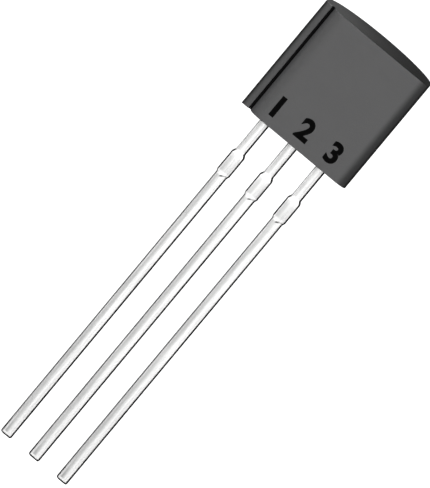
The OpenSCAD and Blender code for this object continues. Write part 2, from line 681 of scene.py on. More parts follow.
def new_material(name: str, metallic: float = 0.0) -> tuple:
    """Starts a material with one Principled shader.

    Args:
        name: The material's name.
        metallic: The shader's metallic value.

    Returns:
        The material, its Nodes helper and its shader.
    """
    material = bpy.data.materials.new(name)
    material.use_nodes = True
    nodes = Nodes(material.node_tree)
    shader = material.node_tree.nodes["Principled BSDF"]
    shader.inputs["Metallic"].default_value = metallic
    return material, nodes, shader


def add_bump(nodes: Nodes, height: bpy.types.NodeSocket, shader: bpy.types.Node,
             depth: float, strength: float = 1.0) -> None:
    """Feeds a height through a Bump node into a shader's normal.

    Args:
        nodes: The material's nodes.
        height: The height output.
        shader: The shader.
        depth: Height of the bumps, in millimetres.
        strength: How strongly they show.
    """
    bump = nodes.add("Bump")
    bump.inputs["Distance"].default_value = depth * MM
    bump.inputs["Strength"].default_value = strength
    nodes.join(height, bump.inputs["Height"])
    nodes.join(bump.outputs["Normal"], shader.inputs["Normal"])


# --------------------------------------------------------------------------------------
# Finishes
# --------------------------------------------------------------------------------------


@dataclass(frozen=True)
class EpoxyFinish:
    """Moulded epoxy: dark grey, finely grained, with painted shade in and beside its groove and
    along its sides.

    Sizes are in millimetres, and each share says how strongly one colour covers another.
    """

    colour: Colour = (0.096, 0.096, 0.097)
    pale: Colour = (0.118, 0.118, 0.119)
    fleck: Colour = (0.14, 0.14, 0.14)
    # Colour of the painted shade in and beside the groove and along the sides
    grime: Colour = (0.006, 0.006, 0.006)
    pale_share: float = 0.12
    fleck_share: float = 0.35
    worn_share: float = 0.5
    smear_share: float = 0.08
    side_share: float = 0.85
    wear_start: float = 0.55
    roughness: float = 0.56
    rubbed_roughness: float = 0.4
    specular: float = 0.5
    # Specular level where that painted shade lies
    grimy_specular: float = 0.05
    grain_size: float = 0.028
    cloud_size: float = 0.9
    grain_depth: float = 0.006

    def material(self, effects: Effects) -> bpy.types.Material:
        """Builds the finish.

        Args:
            effects: The shared node groups.

        Returns:
            The material.
        """
        material, nodes, shader = new_material("moulded_epoxy")
        sizes = {"Grain Size": self.grain_size, "Cloud Size": self.cloud_size}
        grain = nodes.group(effects.grain, **sizes)
        rub = nodes.attribute(Mask.RUB)
        wear = nodes.group(effects.wear, Edge=rub, Start=self.wear_start)
        cloud = nodes.math("MULTIPLY", grain.outputs["Cloud"], self.pale_share)
        colour = nodes.blend(cloud, self.colour, self.pale)
        speck = nodes.math("MULTIPLY", grain.outputs["Speck"], self.fleck_share)
        colour = nodes.blend(speck, colour, self.fleck)
        worn = nodes.math("MULTIPLY", wear.outputs["Worn"], self.worn_share)
        colour = nodes.blend(worn, colour, self.pale)
        # Painted shade beside the groove, in it and along the sides
        shade_beside = nodes.math("MULTIPLY", nodes.attribute(Mask.SMEAR), self.smear_share)
        colour = nodes.blend(shade_beside, colour, self.grime)
        side = nodes.math("MULTIPLY", nodes.attribute(Mask.SIDE), self.side_share)
        painted_dark = nodes.math("MAXIMUM", nodes.attribute(Mask.SEAM), side)
        colour = nodes.blend(painted_dark, colour, self.grime)
        nodes.join(colour, shader.inputs["Base Color"])
        rough = nodes.ramp(wear.outputs["Worn"], 0, 1, self.roughness, self.rubbed_roughness)
        nodes.join(rough, shader.inputs["Roughness"])
        # The painted shade also dims the specular
        gloss = nodes.ramp(painted_dark, 0, 1, self.specular, self.grimy_specular)
        nodes.join(gloss, shader.inputs["Specular IOR Level"])
        add_bump(nodes, grain.outputs["Height"], shader, depth=self.grain_depth)
        return material


@dataclass(frozen=True)
class TinFinish:
    """Tin plate on a stamped lead: bright, with a painted dark reflection band and painted shade
    lines along its edges.

    Attributes:
        shear_z: Height of the end of the stub, where its sheared edge turns in.
        tip_z: Height of the lead's tip.
        colour: The bright plate.
        band: The painted dark reflection band along the left half, where it is darkest.
        edge: The painted shade lines along the edges and across the tip, and the shear mark.
        roughness: The shader's roughness on the bright plate.
        streaked: How much rougher the drawing marks are.
        streak_share: How strongly the marks darken the plate.
        mark_depth: How deep the marks are, in millimetres.
        drift: How far the band wanders sideways, as a share of half the lead's width.
        band_end: Heights above the tip where the band is gone and where it is whole.
        end_line: Heights above the tip where the tip's painted shade line is gone and is whole.
        right_line: How far inside the right edge line it starts and is whole.
        left_line: The same for the left edge line.
        seed_step: How far apart the marks of two leads are drawn from the noise.
    """

    shear_z: float
    tip_z: float
    colour: Colour = (0.55, 0.55, 0.547)
    band: Colour = (0.22, 0.22, 0.22)
    edge: Colour = (0.015, 0.015, 0.015)
    roughness: float = 0.3
    streaked: float = 0.1
    streak_share: float = 0.04
    mark_depth: float = 0.002
    drift: float = 0.15
    band_end: Span = (0.1, 0.15)
    end_line: Span = (0.07, 0.04)
    right_line: Span = (0.0, 0.08)
    left_line: Span = (-0.04, -0.12)
    seed_step: float = 7.3

    def material(self, effects: Effects, seed: int) -> bpy.types.Material:
        """Builds the finish.

        Args:
            effects: The shared node groups.
            seed: Sets one lead's marks apart from the next one's.

        Returns:
            The material.
        """
        material, nodes, shader = new_material(f"tin_plate_{seed}", metallic=1.0)
        across = nodes.attribute(Mask.ACROSS)
        along = nodes.attribute(Mask.ALONG)
        shift = self.seed_step * seed
        marks = nodes.group(effects.streak, Across=across, Along=along, Seed=shift)
        streak = marks.outputs["Streak"]
        drift = nodes.math("MULTIPLY", marks.outputs["Drift"], self.drift)
        shades = nodes.group(
            effects.shade,
            Across=nodes.math("ADD", across, drift),
            Along=nodes.math("SUBTRACT", along, self.shear_z),
            Tip=nodes.attribute(Mask.TIP),
        )
        above = nodes.math("SUBTRACT", along, self.tip_z)
        # Painted dark reflection band and its broader painted grey wash
        band = nodes.math("MULTIPLY", shades.outputs["Band"], nodes.attribute(Mask.DULL))
        wash = nodes.math("MULTIPLY", shades.outputs["Wash"], nodes.attribute(Mask.WASH))
        band = nodes.math("MAXIMUM", band, wash)
        band = nodes.math("MULTIPLY", band, nodes.ramp(above, *self.band_end))
        worn = nodes.ramp(streak, *STREAK_SPAN, 0.0, self.streak_share)
        colour = nodes.blend(nodes.math("MAXIMUM", band, worn), self.colour, self.band)
        # Painted shade lines along the edges and across the tip, with the shear mark
        dark = nodes.math("MAXIMUM", self._outline(nodes, across, above), shades.outputs["Shear"])
        dark = nodes.math("MULTIPLY", dark, nodes.attribute(Mask.FACE))
        nodes.join(nodes.blend(dark, colour, self.edge), shader.inputs["Base Color"])
        rougher = self.roughness + self.streaked
        rough = nodes.ramp(streak, *STREAK_SPAN, self.roughness, rougher)
        nodes.join(rough, shader.inputs["Roughness"])
        add_bump(nodes, streak, shader, depth=self.mark_depth)
        return material

    def _outline(self, nodes: Nodes, across: bpy.types.NodeSocket,
                 above: bpy.types.NodeSocket) -> bpy.types.NodeSocket:
        """Draws the painted shade lines along both sides and across the tip.

        Args:
            nodes: The material's nodes.
            across: The place across the lead.
            above: The height above the tip, in millimetres.

        Returns:
            The lines, from 0 to 1.
        """
        line = nodes.attribute(Mask.LINE)
        right = nodes.ramp(nodes.math("SUBTRACT", across, line), *self.right_line)
        left = nodes.ramp(nodes.math("ADD", across, line), *self.left_line)
        # The left painted shade line shows only where its mask allows
        left = nodes.math("MULTIPLY", left, nodes.attribute(Mask.CUT))
        end = nodes.ramp(above, *self.end_line)
        return nodes.math("MAXIMUM", nodes.math("MAXIMUM", left, end), right)


@dataclass(frozen=True)
class GrainedFinish:
    """A plain finish with grain: solder, silicon, gold or ink.

    Attributes:
        name: The material's name.
        colour: Its main colour.
        shade: The colour of its patches.
        metallic: The shader's metallic value.
        roughness: The shader's roughness between them.
        grain: Size of the grain, in millimetres.
        depth: Height of the grain, in millimetres.
        specular: The shader's specular level.
        patch_grains: How many grains wide the patches are.
        rougher: How much rougher the patches are.
    """

    name: str
    colour: Colour
    shade: Colour
    metallic: float
    roughness: float
    grain: float
    depth: float
    specular: float = 0.5
    patch_grains: float = 12.0
    rougher: float = 0.15

    def material(self, effects: Effects) -> bpy.types.Material:
        """Builds the finish.

        Args:
            effects: The shared node groups.

        Returns:
            The material.
        """
        material, nodes, shader = new_material(self.name, self.metallic)
        shader.inputs["Specular IOR Level"].default_value = self.specular
        sizes = {"Grain Size": self.grain, "Cloud Size": self.patch_grains * self.grain}
        grain = nodes.group(effects.grain, **sizes)
        cloud = grain.outputs["Cloud"]
        nodes.join(nodes.blend(cloud, self.colour, self.shade), shader.inputs["Base Color"])
        rough = nodes.ramp(cloud, 0, 1, self.roughness, self.roughness + self.rougher)
        nodes.join(rough, shader.inputs["Roughness"])
        add_bump(nodes, grain.outputs["Height"], shader, depth=self.depth)
        return material


SOLDER = GrainedFinish(
    name="soft_solder",
    colour=(0.5, 0.5, 0.52),
    shade=(0.4, 0.4, 0.42),
    metallic=1.0,
    roughness=0.35,
    grain=0.02,
    depth=0.002,
)
SILICON = GrainedFinish(
    name="silicon",
    colour=(0.06, 0.065, 0.08),
    shade=(0.09, 0.1, 0.13),
    metallic=0.0,
    roughness=0.12,
    grain=0.02,
    depth=0.0002,
)
GOLD = GrainedFinish(
    name="gold_wire",
    colour=(0.83, 0.58, 0.18),
    shade=(0.72, 0.48, 0.13),
    metallic=1.0,
    roughness=0.18,
    grain=0.01,
    depth=0.0004,
)
INK = GrainedFinish(
    name="printing_ink",
    colour=(0.001, 0.001, 0.001),
    shade=(0.002, 0.002, 0.002),
    metallic=0.0,
    roughness=0.7,
    grain=0.02,
    depth=0.002,
    specular=0.05,
)


# --------------------------------------------------------------------------------------
# The moulded case
# --------------------------------------------------------------------------------------


@dataclass(frozen=True)
class CaseShades:
    """Where and how strongly shade is painted on the case, and how rubbed it is.

    Places on the sides are shares of half the case's width, and the others millimetres.

    Attributes:
        seam_fade: Heights above the shoulder where the painted shade in the groove starts and is
            whole.
        seam_reach: How far that painted shade reaches onto the wall of the front.
        smear_w: Width of the painted shade beside the groove.
        smear_fade: Width over which that painted shade dies out.
        smear_drop: How far that painted shade reaches below the shoulder.
        side: How strong the painted shade is on the flat's right edge, and on the shoulder's outer
            edge.
        shoulder: How strong the painted shade on the shoulder is at its groove.
        right_rise: Where the painted shade on the flat's right edge starts and is as strong as
            side.
        shoulder_rise: The same for the shoulder.
        edge_rise: Where the painted shade on both outer edges starts to grow to full and has done
            so.
        back_fade: Depths at which the painted shade on the sides starts to fade and is gone.
        rub_h: Height of the rubbed stretch at either end of the case.
    """

    seam_fade: Span = (0.12, 0.04)
    seam_reach: float = 0.05
    smear_w: float = 0.6
    smear_fade: float = 0.25
    smear_drop: float = 0.01
    side: float = 0.68
    shoulder: float = 0.12
    right_rise: Span = (0.81, 0.925)
    shoulder_rise: Span = (0.9, 1.0)
    edge_rise: Span = (0.955, 0.985)
    back_fade: Span = (-0.2, 0.6)
    rub_h: float = 0.07


@dataclass
class MouldedCase:
    """The epoxy case: round back, straight sides, flat front and a grooved shoulder.

    Sizes are in package millimetres. The width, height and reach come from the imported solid.
    """

    package: PackageFrame
    shades: CaseShades = CaseShades()
    side_edge_r: float = 0.44
    front_rise: float = 0.44
    front_edge_r: float = 0.44
    shoulder_w: float = 0.31
    shoulder_r: float = 0.05
    groove_w: float = 0.1
    groove_d: float = 0.14
    groove_lip_r: float = 0.015
    groove_foot_r: float = 0.03
    lip_r: float = 0.022
    plain_z: float = 0.15
    pin_mark_d: float = 1.2
    pin_mark_depth: float = 0.18
    pin_mark_foot_r: float = 0.04
    back_step: float = 1.5
    corner_step: float = 7.5
    groove_step: float = 30.0
    pin_mark_sides: int = 64

    def __post_init__(self) -> None:
        """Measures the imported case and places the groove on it."""
        low, high = self.package.extent("case")
        self.half_w = high.x
        self.back_r = high.y
        self.height = high.z
        self.flat_y = low.y
        self.shoulder_y = self.flat_y + self.front_rise
        self.groove_x = self.shoulder_w - self.half_w
        self.front_x = self.groove_x + self.groove_w

    def plan(self) -> list[Point]:
        """Draws the case's outline as seen from above, clockwise from the middle of the back.

        Returns:
            The outline's points.
        """
        plan = Outline()
        plan.arc((0, 0), self.back_r, 90, 0, self.back_step)
        side = self.side_edge_r
        plan.line(self.half_w, self.flat_y + side)
        plan.arc((self.half_w - side, self.flat_y + side), side, 0, -90, self.corner_step)
        edge = self.front_edge_r
        plan.line(self.front_x + edge, self.flat_y, 24)
        plan.arc((self.front_x + edge, self.flat_y + edge), edge, -90, -180, self.corner_step)
        self._groove(plan)
        corner = self.shoulder_r
        plan.line(corner - self.half_w, self.shoulder_y, 3)
        middle = (corner - self.half_w, self.shoulder_y + corner)
        plan.arc(middle, corner, -90, -180, self.groove_step)
        plan.line(-self.half_w, 0)
        plan.arc((0, 0), self.back_r, 180, 90, self.back_step)
        return [(min(max(x, -self.half_w), self.half_w), y) for x, y in plan.closed()]

    def _groove(self, plan: Outline) -> None:
        """Draws the groove from the wall of the front to the shoulder.

        Args:
            plan: The outline so far, which is at the front's long edge.
        """
        lip = self.groove_lip_r
        foot = self.groove_foot_r
        bottom = self.shoulder_y + self.groove_d
        plan.line(self.front_x, bottom - foot)
        step = self.groove_step
        plan.arc((self.front_x - foot, bottom - foot), foot, 0, 90, step)
        plan.arc((self.groove_x + foot, bottom - foot), foot, 90, 180, step)
        plan.line(self.groove_x, self.shoulder_y + lip)
        plan.arc((self.groove_x - lip, self.shoulder_y + lip), lip, 0, -90, step)

    def _masks(self, x: float, y: float, z: float) -> dict[Mask, float]:
        """Works out how much painted shade and rubbing a point of the case has.

        Args:
            x: The point, across.
            y: The point, in depth.
            z: The point, up the case.

        Returns:
            The masks of painted shade in the groove, beside it and on the sides, and of rubbing,
            from 0 to 1.
        """
        if z in (0.0, self.height):
            return {Mask.SEAM: 0.0, Mask.SMEAR: 0.0, Mask.SIDE: 0.0, Mask.RUB: 1.0}
        shades = self.shades
        # Painted shade in the groove and on the wall of the front
        in_groove = self.groove_x - NEAR < x < self.front_x + shades.seam_reach and y < 0
        clean, whole = (self.shoulder_y - height for height in shades.seam_fade)
        groove_shade = smoothstep(clean, whole, y) if in_groove else 0.0
        # Painted shade on the flat beside the groove, fading away from it
        on_front = x > self.front_x - NEAR and y < self.shoulder_y + shades.smear_drop
        far = self.front_x + shades.smear_w
        shade_beside = 1 - smoothstep(far - shades.smear_fade, far, x) if on_front else 0.0
        # Painted shade along the sides, strongest at the outer edges, fading towards the back
        if x > self.groove_x:
            share = x / self.half_w
            side = shades.side * smoothstep(*shades.right_rise, share)
        else:
            share = -x / self.half_w
            dimmer = shades.side - shades.shoulder
            side = shades.shoulder + dimmer * smoothstep(*shades.shoulder_rise, share)
        side += (1 - shades.side) * smoothstep(*shades.edge_rise, share)
        side *= 1 - smoothstep(*shades.back_fade, y)
        rub = 1 - smoothstep(0.0, shades.rub_h, min(z, self.height - z))
        return {Mask.SEAM: groove_shade, Mask.SMEAR: shade_beside, Mask.SIDE: side, Mask.RUB: rub}

    def mesh(self) -> bpy.types.Mesh:
        """Lofts the plan up the case, with a rounded lip at both ends.

        Returns:
            The mesh, in package millimetres.
        """
        plan = self.plan()
        levels = []
        for i in range(LIP_PARTS + 1):
            a = math.radians(90 * i / LIP_PARTS)
            levels.append((self.lip_r * (1 - math.sin(a)), self.lip_r * (1 - math.cos(a))))
        rub_h = self.shades.rub_h
        levels += [(0.0, z) for z in (rub_h / 2, rub_h, self.plain_z, self.height / 2)]
        top = [(depth, self.height - z) for depth, z in reversed(levels[:-1])]
        rings = []
        masks = {Mask.SEAM: [], Mask.SMEAR: [], Mask.SIDE: [], Mask.RUB: []}
        for depth, z in levels + top:
            ring = inset(plan, depth) if depth > 0 else plan
            rings.append([Vector((x, y, z)) for x, y in ring])
            for x, y in plan:
                for mask, value in self._masks(x, y, z).items():
                    masks[mask].append(value)
        return lofted("moulded_case", rings, masks)

    def pin_mark(self) -> bpy.types.Mesh:
        """Turns the ejector pin's dimple, as the solid that is cut out of the back.

        Returns:
            The mesh, in package millimetres.
        """
        radius = self.pin_mark_d / 2
        foot = self.pin_mark_foot_r
        bottom = self.back_r - self.pin_mark_depth
        section = [(radius, self.back_r + CUT_PAST)]
        for i in range(LIP_PARTS + 1):
            a = math.radians(90 * i / LIP_PARTS)
            section.append((radius - foot + foot * math.cos(a), bottom + foot - foot * math.sin(a)))
        rings = []
        sides = self.pin_mark_sides
        for r, y in reversed(section):
            ring = []
            for i in range(sides):
                a = -2 * math.pi * i / sides
                ring.append(Vector((r * math.sin(a), y, self.height / 2 + r * math.cos(a))))
            rings.append(ring)
        return lofted("pin_mark", rings, {})

    def build(self, effects: Effects, inside: list[bpy.types.Object]) -> bpy.types.Object:
        """Makes, cuts and dresses the case.

        Args:
            effects: The shared node groups.
            inside: The pieces that the epoxy is moulded round.

        Returns:
            The case.
        """
        piece = placed("moulded_case", self.mesh(), self.package)
        mark = placed("pin_mark", self.pin_mark(), self.package)
        cut_away(piece, [mark, *inside])
        bpy.data.objects.remove(mark)
        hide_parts("case")
        dress(piece, EpoxyFinish().material(effects))
        return piece


# --------------------------------------------------------------------------------------
# The stamped leads
# --------------------------------------------------------------------------------------


@dataclass(frozen=True)
class InnerPlate:
    """The wide part of a lead inside the case, a post or the die's paddle."""

    left: float
    right: float
    bottom: float
    top: float


@dataclass(frozen=True)
class LeadShades:
    """How strongly the painted reflection band, its wash and the painted shade lines show along a
    lead.

    Each span is measured up from the level it is named for, in millimetres.

    Attributes:
        neck_band: Strength of the band on the neck, and so on for each stretch.
        neck_wash: Strength of the wash on the neck, and so on for each stretch.
        worn_line: Strength of the painted shade line along the left edge below the stub.
        neck_start: Where the neck's shades come in, from the neck's lower end.
        stub_start: Where the stub's shades come in, from the stub's lower end.
        stub_end: Where they go out, from the stub's upper end.
        lower_end: Where the lower length's shades go out, from the foot of the stub.
        line_start: Where the left edge line is whole, from the stub's lower end.
        line_end: Where it goes out, from the neck's lower end.
        tip_end: Where the tip's shades go out, from the tip.
    """

    neck_band: float = 0.62
    stub_band: float = 0.66
    lower_band: float = 0.72
    tip_band: float = 0.87
    neck_wash: float = 0.41
    stub_wash: float = 0.44
    lower_wash: float = 0.13
    worn_line: float = 0.7
    neck_start: Span = (-0.04, 0.08)
    stub_start: Span = (-0.04, 0.06)
    stub_end: Span = (-0.12, 0.04)
    lower_end: Span = (-0.06, 0.02)
    line_start: Span = (-0.06, 0.06)
    line_end: Span = (-0.1, 0.04)
    tip_end: Span = (0.3, 1.2)


@dataclass
class StampedLead:
    """One lead of the stamped frame, from its square-cut tip to its end inside the case.

    Sizes are in package millimetres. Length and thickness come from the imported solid.
    """

    package: PackageFrame
    node: str
    number: int
    middle_x: float
    plate: InnerPlate
    lead_w: float = 0.47
    neck_w: float = 0.41
    stub_w: float = 0.55
    stub_len: float = 0.77
    stub_taper: float = 0.18
    stub_foot: float = 0.12
    neck_len: float = 1.42
    edge_r: float = 0.035
    crown: float = 0.012
    stub_swell: float = 0.004
    swell_rise: float = 0.3
    tip_r: float = 0.09
    edge_line: float = 0.073
    hold: float = 0.05
    taper_steps: int = 8
    tip_steps: int = 6
    shades: LeadShades = LeadShades()

    def __post_init__(self) -> None:
        """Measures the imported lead."""
        low, high = self.package.extent(self.node)
        self.tip_z = low.z
        self.half_t = high.y
        self.stub_top = -self.neck_len - self.stub_taper
        self.stub_bottom = self.stub_top - self.stub_len
        self.foot_z = self.stub_bottom - self.stub_foot

    def _widths(self, z: float) -> tuple[float, float]:
        """The lead's left and right sides at a height outside the case.

        Args:
            z: The height, below 0.

        Returns:
            The distances of both sides from the lead's middle line.
        """
        lead = self.lead_w / 2
        stub = self.stub_w / 2
        neck = self.neck_w / 2
        if z > self.stub_top:
            share = smoothstep(-self.neck_len, self.stub_top, z)
            return neck + (stub - neck) * share, neck + (stub - neck) * share
        share = smoothstep(self.stub_bottom, self.foot_z, z)
        both = stub + (lead - stub) * share
        rounding = self.tip_r * (1 - math.sqrt(max(0.0, 1 - self._tip_share(z) ** 2)))
        return both - rounding, both - 0.5 * rounding

    def _tip_share(self, z: float) -> float:
        """How far a height is into the tip's rounding, from 0 to 1."""
        return min(1.0, max(0.0, (self.tip_z + self.tip_r - z) / self.tip_r))

    def _swell(self, z: float) -> float:
        """How much thicker the stub is at a height."""
        rise = smoothstep(self.foot_z, self.stub_bottom + self.swell_rise, z)
        fall = 1 - smoothstep(self.stub_top, -self.neck_len, z)
        return self.stub_swell * rise * fall

    def _masks(self, z: float) -> dict[Mask, float]:
        """Works out how a section's painted reflection band, wash and shade lines show, and where
        its lines lie.

        Args:
            z: The section's height.

        Returns:
            The masks of the painted reflection band, the wash, the left shade line and the tip, and
            where the lines lie, from 0 to 1.
        """
        shades = self.shades
        neck = faded(-self.neck_len, shades.neck_start, z)
        stub = faded(self.stub_bottom, shades.stub_start, z)
        stub *= 1 - faded(self.stub_top, shades.stub_end, z)
        lower = 1 - faded(self.foot_z, shades.lower_end, z)
        # Painted shade line along the left edge, on the stub and the neck, below the stub and at
        # the tip
        side = faded(self.stub_bottom, shades.line_start, z)
        side *= 1 - faded(-self.neck_len, shades.line_end, z)
        worn = shades.worn_line * (1 - smoothstep(self.foot_z, self.stub_bottom, z))
        tip = 1 - faded(self.tip_z, shades.tip_end, z)
        # Strength of the painted dark reflection band and its wash on each stretch
        bands = (
            shades.neck_band * neck,
            shades.stub_band * stub,
            shades.lower_band * lower,
            shades.tip_band * tip,
        )
        washes = (
            shades.neck_wash * neck,
            shades.stub_wash * stub,
            shades.lower_wash * lower * (1 - tip),
        )
        width = sum(self._widths(min(z, 0.0)))
        return {
            Mask.DULL: max(bands),
            Mask.WASH: max(washes),
            Mask.CUT: max(side, worn, tip),
            Mask.TIP: tip,
            Mask.LINE: 1 - 2 * self.edge_line / width,
        }

    def _stations(self) -> list[tuple[float, float, float, float]]:
        """Lists the sections from the tip up.

        Returns:
            For each section its height, its sides' X and its crown.
        """
        x = self.middle_x
        zone_top = self.tip_z + self.shades.tip_end[1]
        heights = [self.tip_z + self.tip_r * i / self.tip_steps for i in range(self.tip_steps + 1)]
        heights += spaced(heights[-1], zone_top, self.hold, 6)
        heights += spaced(zone_top, self.foot_z, self.hold, 10)
        tapers = range(self.taper_steps + 1)
        heights += [self.foot_z + self.stub_foot * i / self.taper_steps for i in tapers]
        heights += spaced(self.stub_bottom, self.stub_top, self.hold, 3)
        heights += [self.stub_top + self.stub_taper * i / self.taper_steps for i in tapers]
        heights += spaced(-self.neck_len, 0.0, self.hold, 2)
        stations = []
        for z in heights:
            left, right = self._widths(z)
            stations.append((z, x - left, x + right, self.crown))
        neck = self.neck_w / 2
        plate = self.plate
        stations.append((STEP_H, x - neck, x + neck, 0.0))
        stations.append((plate.bottom - STEP_H, x - neck, x + neck, 0.0))
        stations.append((plate.bottom, plate.left, plate.right, 0.0))
        stations.append((plate.top, plate.left, plate.right, 0.0))
        return stations

    def _section(self, left: float, right: float, half_t: float, crown: float,
                 edge_r: float) -> list[Point]:
        """Draws one section, clockwise as seen from above, from the front's left end.

        Args:
            left: X of the left side.
            right: X of the right side.
            half_t: Half of the thickness.
            crown: How much lower the face is at its edges.
            edge_r: Radius of the four edges.

        Returns:
            The section's points.
        """
        middle = (left + right) / 2
        half_w = (right - left) / 2
        shares = (-0.94, -0.75, -0.5, -0.25, 0.0, 0.25, 0.5, 0.75, 0.94)
        turns = (0, 18, 36, 54, 72, 90)
        points = []

        def face_y(x: float) -> float:
            """Depth of the crowned face at an X, on the positive side."""
            return half_t - crown * ((x - middle) / half_w) ** 2

        corner_y = face_y(middle + half_w - edge_r) - edge_r
        flat = half_w - edge_r
        for side in (1, -1):
            for share in shares:
                x = middle + side * share * flat
                points.append((x, side * face_y(x)))
            for turn in turns:
                a = math.radians(turn)
                x = middle + side * (flat + edge_r * math.sin(a))
                points.append((x, side * (corner_y + edge_r * math.cos(a))))
            for share in (0.9, 0.0, -0.9):
                points.append((middle + side * half_w, side * share * corner_y))
            for turn in reversed(turns):
                a = math.radians(turn)
                x = middle + side * (flat + edge_r * math.sin(a))
                points.append((x, -side * (corner_y + edge_r * math.cos(a))))
        return points

    def mesh(self) -> bpy.types.Mesh:
        """Lofts the sections from the tip to the end inside the case.

        Returns:
            The mesh, in package millimetres.
        """
        rings = []
        masks = {mask: [] for mask in (Mask.ACROSS, Mask.ALONG, Mask.FACE, *self._masks(0.0))}
        for z, left, right, crown in self._stations():
            half_t = self.half_t + self._swell(z)
            middle = (left + right) / 2
            half_w = (right - left) / 2
            ring = self._section(left, right, half_t, crown, self.edge_r)
            rings.append([Vector((x, y, z)) for x, y in ring])
            masks[Mask.ACROSS] += [(x - middle) / half_w for x, _ in ring]
            masks[Mask.ALONG] += [z] * len(ring)
            face_y = crown + self.edge_r - half_t - NEAR / 2
            masks[Mask.FACE] += [float(y < face_y) for _, y in ring]
            for mask, value in self._masks(z).items():
                masks[mask] += [value] * len(ring)
        return lofted(self.name, rings, masks)

    @property
    def name(self) -> str:
        """The piece's name."""
        return f"tinned_lead_{self.number}"

    def build(self, effects: Effects) -> bpy.types.Object:
        """Makes and dresses the lead.

        Args:
            effects: The shared node groups.

        Returns:
            The lead.
        """
        piece = placed(self.name, self.mesh(), self.package)
        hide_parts(self.node)
        finish = TinFinish(shear_z=self.stub_bottom, tip_z=self.tip_z)
        dress(piece, finish.material(effects, self.number))
        return piece


@dataclass
class LeadFrame:
    """The three leads that were stamped in one frame, with their posts and the paddle."""

    package: PackageFrame
    post_rise: float = 1.0
    post_h: float = 0.85
    base_post_w: float = 1.0
    frame_gap: float = 0.3
    paddle_h: float = 1.7

    def leads(self) -> list[StampedLead]:
        """Lists the leads from lead 1 to lead 3.

        Returns:
            The leads.
        """
        post_top = self.post_rise + self.post_h
        half_post = self.base_post_w / 2
        paddle_bottom = post_top + self.frame_gap
        outer_low, _ = self.package.extent("emitter_lead")
        paddle_low, paddle_high = self.package.extent("collector_lead")
        pitch = self._pitch()
        neck = StampedLead.neck_w / 2
        flag = InnerPlate(outer_low.x, -half_post - self.frame_gap, self.post_rise, post_top)
        post = InnerPlate(-half_post, half_post, self.post_rise, post_top)
        paddle_left = min(paddle_low.x, pitch - neck)
        paddle_top = paddle_bottom + self.paddle_h
        paddle = InnerPlate(paddle_left, paddle_high.x, paddle_bottom, paddle_top)
        package = self.package
        return [
            StampedLead(package, "emitter_lead", 1, -pitch, flag),
            StampedLead(package, "base_lead", 2, 0.0, post),
            StampedLead(package, "collector_lead", 3, pitch, paddle),
        ]

    def _pitch(self) -> float:
        """Distance between neighbouring leads, from the record's mounts."""
        mounts = {mount["name"]: mount for mount in frame["record"]["mounts"]}
        run = Vector(mounts["lead_3"]["pos_m"]) - Vector(mounts["lead_2"]["pos_m"])
        return run.length / MM


# --------------------------------------------------------------------------------------
# The printed numbers
# --------------------------------------------------------------------------------------


@dataclass
class LeadNumbers:
    """The numbers 1 to 3, printed on the flat above their leads.

    Sizes are in package millimetres.
    """

    package: PackageFrame
    flat_y: float
    pitch: float
    height: float = 0.84
    baseline_z: float = 0.34
    boldness: float = 0.05
    thickness: float = 0.003
    sunk: float = 0.001

    def _number_mesh(self, number: int) -> bpy.types.Mesh:
        """Turns one number into a thin plate of ink.

        Args:
            number: The number.

        Returns:
            The mesh, in package millimetres.
        """
        curve = bpy.data.curves.new(f"number_{number}", "FONT")
        curve.body = str(number)
        curve.align_x = "CENTER"
        curve.size = 1.0
        curve.offset = self.boldness / self.height * FIGURE_H
        curve.extrude = 0.5
        curve.fill_mode = "BOTH"
        writer = bpy.data.objects.new("number_writer", curve)
        bpy.context.scene.collection.objects.link(writer)
        graph = bpy.context.evaluated_depsgraph_get()
        graph.update()
        mesh = bpy.data.meshes.new_from_object(writer.evaluated_get(graph))
        bpy.data.objects.remove(writer)
        bpy.data.curves.remove(curve)
        low = Vector(min(v.co[i] for v in mesh.vertices) for i in range(3))
        high = Vector(max(v.co[i] for v in mesh.vertices) for i in range(3))
        scale = self.height / (high.y - low.y)
        middle = (low.x + high.x) / 2
        flatten = Matrix.Diagonal((scale, scale, self.thickness / (high.z - low.z), 1))
        mesh.transform(flatten @ Matrix.Translation((-middle, -low.y, -low.z)))
        return mesh

    def build(self, effects: Effects) -> list[bpy.types.Object]:
        """Prints the numbers.

        Args:
            effects: The shared node groups.

        Returns:
            The printed numbers.
        """
        ink = INK.material(effects)
        stand = Matrix.Rotation(math.radians(90), 4, "X")
        pieces = []
        for number in (1, 2, 3):
            mesh = self._number_mesh(number)
            place = ((number - 2) * self.pitch, self.flat_y + self.sunk, self.baseline_z)
            mesh.transform(Matrix.Translation(place) @ stand)
            piece = placed(f"printed_number_{number}", mesh, self.package)
            dress(piece, ink)
            pieces.append(piece)
        return pieces


# --------------------------------------------------------------------------------------
# The stage
# --------------------------------------------------------------------------------------


@dataclass
class Table:
    """A plain pale table top under the part, in metres."""

    radius: float = 0.6
    sides: int = 96
    brightness: float = 1.15
    bounce: Colour = (0.3, 0.3, 0.3)

    def build(self) -> bpy.types.Object:
        """Makes the table top.

        Returns:
            The table top.
        """
        turns = [2 * math.pi * i / self.sides for i in range(self.sides)]
        rim = [(self.radius * math.cos(a), self.radius * math.sin(a), 0.0) for a in turns]
        mesh = bpy.data.meshes.new("table_top")
        mesh.from_pydata(rim, [], [range(self.sides)])
        piece = bpy.data.objects.new("table_top", mesh)
        bpy.context.scene.collection.objects.link(piece)
        mesh.materials.append(self._material())
        piece.visible_diffuse = False
        piece.visible_shadow = False
        piece.visible_glossy = False
        return piece

    def _material(self) -> bpy.types.Material:
        """Pale card that glows evenly, so that no shadow shows on it."""
        material, _, shader = new_material("pale_card")
        shader.inputs["Base Color"].default_value = (*self.bounce, 1.0)
        shader.inputs["Roughness"].default_value = 0.9
        shader.inputs["Emission Color"].default_value = (1.0, 1.0, 1.0, 1.0)
        shader.inputs["Emission Strength"].default_value = self.brightness
        return material


